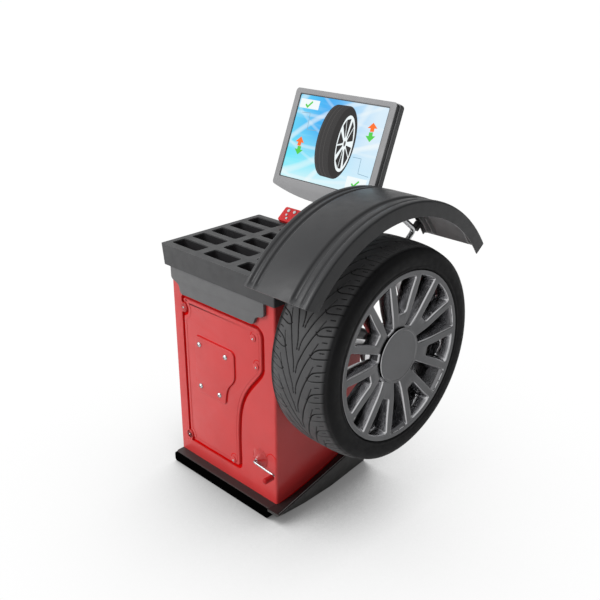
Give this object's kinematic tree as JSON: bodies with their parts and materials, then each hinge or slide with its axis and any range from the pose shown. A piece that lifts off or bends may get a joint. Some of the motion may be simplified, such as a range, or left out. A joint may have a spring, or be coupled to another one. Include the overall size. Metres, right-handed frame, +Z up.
{
  "type": "wheel balancer machine",
  "caption": "Garage wheel balancer: red cabinet with a weight tray, tilting screen, lifting wheel hood, brake lever and a car wheel clamped on the spindle.",
  "frame": {"origin": "on the floor, under the middle of the cabinet", "axes": "+X along the spindle out to the wheel, -Y towards the operator, +Z up"},
  "size_m": [0.8366, 0.7858, 1.2706],
  "materials": {
    "red_paint": "semi-gloss powder coat",
    "dark_plastic": "fine moulded grain",
    "grey_plastic": "fine moulded grain",
    "black_plastic": "satin",
    "steel": "machined",
    "chrome": "polished",
    "dark_steel": "black enamel",
    "silver_plastic": "silver paint on plastic",
    "rubber": "matt",
    "tyre_rubber": "matt, lightly polished",
    "alloy": "dark polished alloy",
    "aluminium": "machined",
    "button": "satin",
    "screen": "lit display",
    "copper": "varnished",
    "red_plastic": "satin"
  },
  "bodies": {
    "frame": {"base_plinth": "black_plastic", "base_cover": "dark_plastic", "cabinet_shell": "red_paint", "front_panel": "red_paint", "panel_bolt_1": "chrome", "panel_bolt_2": "chrome", "panel_bolt_3": "chrome", "panel_bolt_4": "chrome", "panel_screw_1": "chrome", "panel_screw_2": "chrome", "panel_screw_3": "chrome", "panel_screw_4": "chrome", "panel_screw_5": "chrome", "weight_tray": "dark_plastic", "tray_apron": "grey_plastic", "keypad_housing": "red_plastic", "spindle_housing": "dark_steel", "spindle_column": "dark_steel", "bearing_rear": "steel", "bearing_front": "steel", "piezo_sensor_vertical": "copper", "piezo_sensor_horizontal": "copper", "drive_motor": "dark_steel", "drive_belt": "rubber", "control_board_box": "aluminium", "mains_socket": "black_plastic", "pedal_boss": "red_paint", "guard_bracket": "dark_steel", "guard_limit_switch": "black_plastic", "monitor_post": "dark_plastic"},
    "spindle": {"spindle_shaft": "steel", "encoder_disc": "aluminium", "spindle_pulley": "aluminium", "brake_drum": "dark_steel", "backplate_flange": "dark_steel", "centring_cone": "steel", "cone_spring": "steel", "quick_nut": "dark_steel", "wheel_rim": "alloy", "tyre": "tyre_rubber", "hub_cap": "alloy"},
    "motor_rotor": {"motor_pulley": "aluminium"},
    "guard": {"wheel_guard": "dark_plastic", "guard_arm": "steel"},
    "monitor": {"monitor_bezel": "silver_plastic", "monitor_glass": "screen", "monitor_shell": "silver_plastic", "monitor_yoke": "dark_steel"},
    "pedal": {"brake_pedal": "chrome", "pedal_grip": "red_plastic"},
    "brake": {"brake_rod": "steel", "brake_shoe": "rubber"},
    "mains_rocker": {"mains_rocker": "black_plastic"},
    "key_1": {"key_1": "button"},
    "key_2": {"key_2": "button"},
    "key_3": {"key_3": "button"},
    "key_4": {"key_4": "button"},
    "key_5": {"key_5": "button"},
    "key_6": {"key_6": "button"},
    "key_7": {"key_7": "button"}
  },
  "joints": [
    {"name": "spindle_spin", "type": "hinge", "parent": "frame", "child": "spindle", "pos_m": [0, 0, 0.618], "axis": [1, 0, 0], "continuous": true},
    {"name": "motor_spin", "type": "hinge", "parent": "frame", "child": "motor_rotor", "pos_m": [0.072, 0, 0.14], "axis": [1, 0, 0], "continuous": true},
    {"name": "guard_lift", "type": "hinge", "parent": "frame", "child": "guard", "pos_m": [0.18, 0.236, 0.785], "axis": [-1, 0, 0], "range_deg": [0, 60]},
    {"name": "monitor_tilt", "type": "hinge", "parent": "frame", "child": "monitor", "pos_m": [0.076, 0.29343, 1.08952], "axis": [1, 0, 0], "range_deg": [-10, 10]},
    {"name": "pedal_press", "type": "hinge", "parent": "frame", "child": "pedal", "pos_m": [0.17, 0, 0.184], "axis": [0, 1, 0], "range_deg": [0, 12]},
    {"name": "brake_lift", "type": "slide", "parent": "frame", "child": "brake", "axis": [0, 0, 1], "range_m": [0, 0.0112]},
    {"name": "rocker_tilt", "type": "hinge", "parent": "frame", "child": "mains_rocker", "pos_m": [-0.13, 0.1975, 0.59], "axis": [-1, 0, 0], "range_deg": [0, 12]},
    {"name": "key_1_press", "type": "slide", "parent": "frame", "child": "key_1", "axis": [0, 0.6157, -0.788], "range_m": [0, 0.002]},
    {"name": "key_2_press", "type": "slide", "parent": "frame", "child": "key_2", "axis": [0, 0.6157, -0.788], "range_m": [0, 0.002]},
    {"name": "key_3_press", "type": "slide", "parent": "frame", "child": "key_3", "axis": [0, 0.6157, -0.788], "range_m": [0, 0.002]},
    {"name": "key_4_press", "type": "slide", "parent": "frame", "child": "key_4", "axis": [0, 0.6157, -0.788], "range_m": [0, 0.002]},
    {"name": "key_5_press", "type": "slide", "parent": "frame", "child": "key_5", "axis": [0, 0.6157, -0.788], "range_m": [0, 0.002]},
    {"name": "key_6_press", "type": "slide", "parent": "frame", "child": "key_6", "axis": [0, 0.6157, -0.788], "range_m": [0, 0.002]},
    {"name": "key_7_press", "type": "slide", "parent": "frame", "child": "key_7", "axis": [0, 0.6157, -0.788], "range_m": [0, 0.002]}
  ],
  "couplings": [
    {"joint": "motor_spin", "follows": "spindle_spin", "ratio": 2.5},
    {"joint": "brake_lift", "follows": "pedal_press", "m_per_rad": 0.052}
  ]
}
